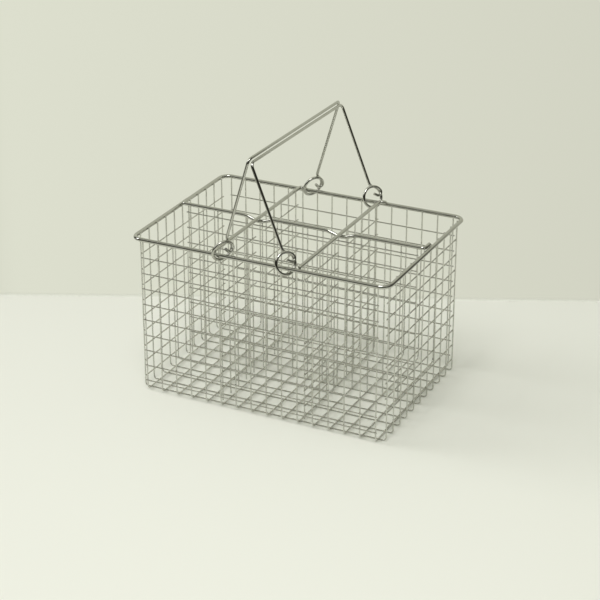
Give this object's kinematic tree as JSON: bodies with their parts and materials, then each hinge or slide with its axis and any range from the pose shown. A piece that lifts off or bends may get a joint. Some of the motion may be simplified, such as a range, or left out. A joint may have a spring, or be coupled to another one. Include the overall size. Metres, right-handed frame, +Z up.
{
  "type": "wire mesh cutlery caddy",
  "caption": "Chromed wire mesh caddy with divided compartments for cutlery and swinging wire bails that meet as one carrying grip.",
  "frame": {"origin": "middle of the basket's footprint, on the surface that it stands on", "axes": "+X along the basket's long side, towards the picture's right; +Y from the long side that faces the viewer to the rear one; +Z up"},
  "size_m": [0.3302, 0.2551, 0.3215],
  "materials": {
    "basket_mesh": "bright chrome plate on steel wire",
    "rim": "bright chrome plate on steel wire",
    "divider_mesh": "bright chrome plate on steel wire",
    "divider_wire": "bright chrome plate on steel wire",
    "bails": "bright chrome plate on steel wire"
  },
  "bodies": {
    "basket": {"floor_mesh": "basket_mesh", "front_wall_mesh": "basket_mesh", "rear_wall_mesh": "basket_mesh", "left_wall_mesh": "basket_mesh", "right_wall_mesh": "basket_mesh", "rim_wire": "rim", "long_divider_mesh": "divider_mesh", "left_divider_front_mesh": "divider_mesh", "left_divider_rear_mesh": "divider_mesh", "right_divider_front_mesh": "divider_mesh", "right_divider_rear_mesh": "divider_mesh", "long_divider_top_wire": "divider_wire", "left_divider_top_wire": "divider_wire", "right_divider_top_wire": "divider_wire"},
    "left_bail": {"left_bail": "bails"},
    "right_bail": {"right_bail": "bails"}
  },
  "joints": [
    {"name": "left_bail_swing", "type": "hinge", "parent": "basket", "child": "left_bail", "pos_m": [-0.04299, 0.0009, 0.1985], "axis": [-0.0209, -0.9998, 0], "range_deg": [0, 45]},
    {"name": "right_bail_swing", "type": "hinge", "parent": "basket", "child": "right_bail", "pos_m": [0.04299, -0.0009, 0.1985], "axis": [0.0209, 0.9998, 0], "range_deg": [0, 32]}
  ]
}
